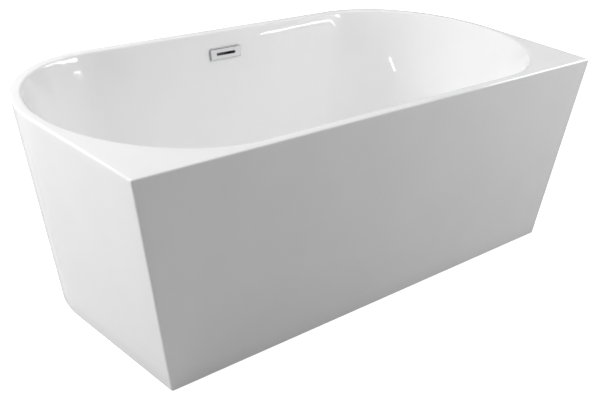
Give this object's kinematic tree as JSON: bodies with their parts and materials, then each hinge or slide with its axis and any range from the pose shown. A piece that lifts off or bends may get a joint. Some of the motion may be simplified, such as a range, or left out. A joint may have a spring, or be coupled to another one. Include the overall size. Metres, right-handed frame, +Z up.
{
  "type": "freestanding bathtub",
  "caption": "Back-to-wall freestanding bathtub with a flat side, rounded far side, tapered one-piece skirt, slot overflow, pop-up waste and steel cradle on levelling feet.",
  "frame": {"origin": "on the floor, under the middle of the bathtub's bounding box", "axes": "+X along the length, +Y away from the wall towards the rounded side, +Z up"},
  "size_m": [1.6998, 0.7799, 0.57],
  "materials": {
    "white_acrylic": "gloss",
    "plywood": "matte",
    "powder_coated_steel": "satin",
    "zinc_steel": "satin",
    "black_plastic": "matte",
    "white_plastic": "satin",
    "hose_plastic": "matte",
    "seal_rubber": "matte",
    "chrome": "polished",
    "brass": "satin",
    "spring_steel": "satin"
  },
  "bodies": {
    "bath": {"basin": "white_acrylic", "skirt": "white_acrylic", "rim_batten": "plywood", "base_board": "plywood", "long_rail_wall": "powder_coated_steel", "long_rail_room": "powder_coated_steel", "cross_rail_left": "powder_coated_steel", "cross_rail_right": "powder_coated_steel", "rail_end_caps": "black_plastic", "board_screws": "zinc_steel", "foot_lock_nuts": "zinc_steel", "foot_rivet_nuts": "zinc_steel", "drain_flange": "chrome", "drain_gasket": "seal_rubber", "drain_seal": "seal_rubber", "waste_body": "white_plastic", "plug_sleeve": "brass", "plug_spring": "spring_steel", "overflow_cover": "chrome", "overflow_frame": "black_plastic", "overflow_screws": "zinc_steel", "overflow_gasket": "seal_rubber", "overflow_body": "white_plastic", "overflow_hose": "hose_plastic", "hose_nut_upper": "white_plastic", "hose_nut_lower": "white_plastic"},
    "plug": {"plug_cap": "chrome", "plug_seal": "seal_rubber", "plug_stem": "brass"},
    "foot_wall_left": {"foot_pad_wall_left": "black_plastic", "foot_stud_wall_left": "zinc_steel"},
    "foot_wall_right": {"foot_pad_wall_right": "black_plastic", "foot_stud_wall_right": "zinc_steel"},
    "foot_wall_middle": {"foot_pad_wall_middle": "black_plastic", "foot_stud_wall_middle": "zinc_steel"},
    "foot_room_left": {"foot_pad_room_left": "black_plastic", "foot_stud_room_left": "zinc_steel"},
    "foot_room_right": {"foot_pad_room_right": "black_plastic", "foot_stud_room_right": "zinc_steel"},
    "foot_room_middle": {"foot_pad_room_middle": "black_plastic", "foot_stud_room_middle": "zinc_steel"}
  },
  "joints": [
    {"name": "plug_travel", "type": "slide", "parent": "bath", "child": "plug", "axis": [0, 0, 1], "range_m": [-0.008, 0], "stiffness_N_per_m": 300, "springref_m": 0.015, "deforming": ["plug_spring"]},
    {"name": "level_wall_left", "type": "slide", "parent": "bath", "child": "foot_wall_left", "axis": [0, 0, -1], "range_m": [0, 0.02]},
    {"name": "level_wall_right", "type": "slide", "parent": "bath", "child": "foot_wall_right", "axis": [0, 0, -1], "range_m": [0, 0.02]},
    {"name": "level_wall_middle", "type": "slide", "parent": "bath", "child": "foot_wall_middle", "axis": [0, 0, -1], "range_m": [0, 0.02]},
    {"name": "level_room_left", "type": "slide", "parent": "bath", "child": "foot_room_left", "axis": [0, 0, -1], "range_m": [0, 0.02]},
    {"name": "level_room_right", "type": "slide", "parent": "bath", "child": "foot_room_right", "axis": [0, 0, -1], "range_m": [0, 0.02]},
    {"name": "level_room_middle", "type": "slide", "parent": "bath", "child": "foot_room_middle", "axis": [0, 0, -1], "range_m": [0, 0.02]}
  ]
}
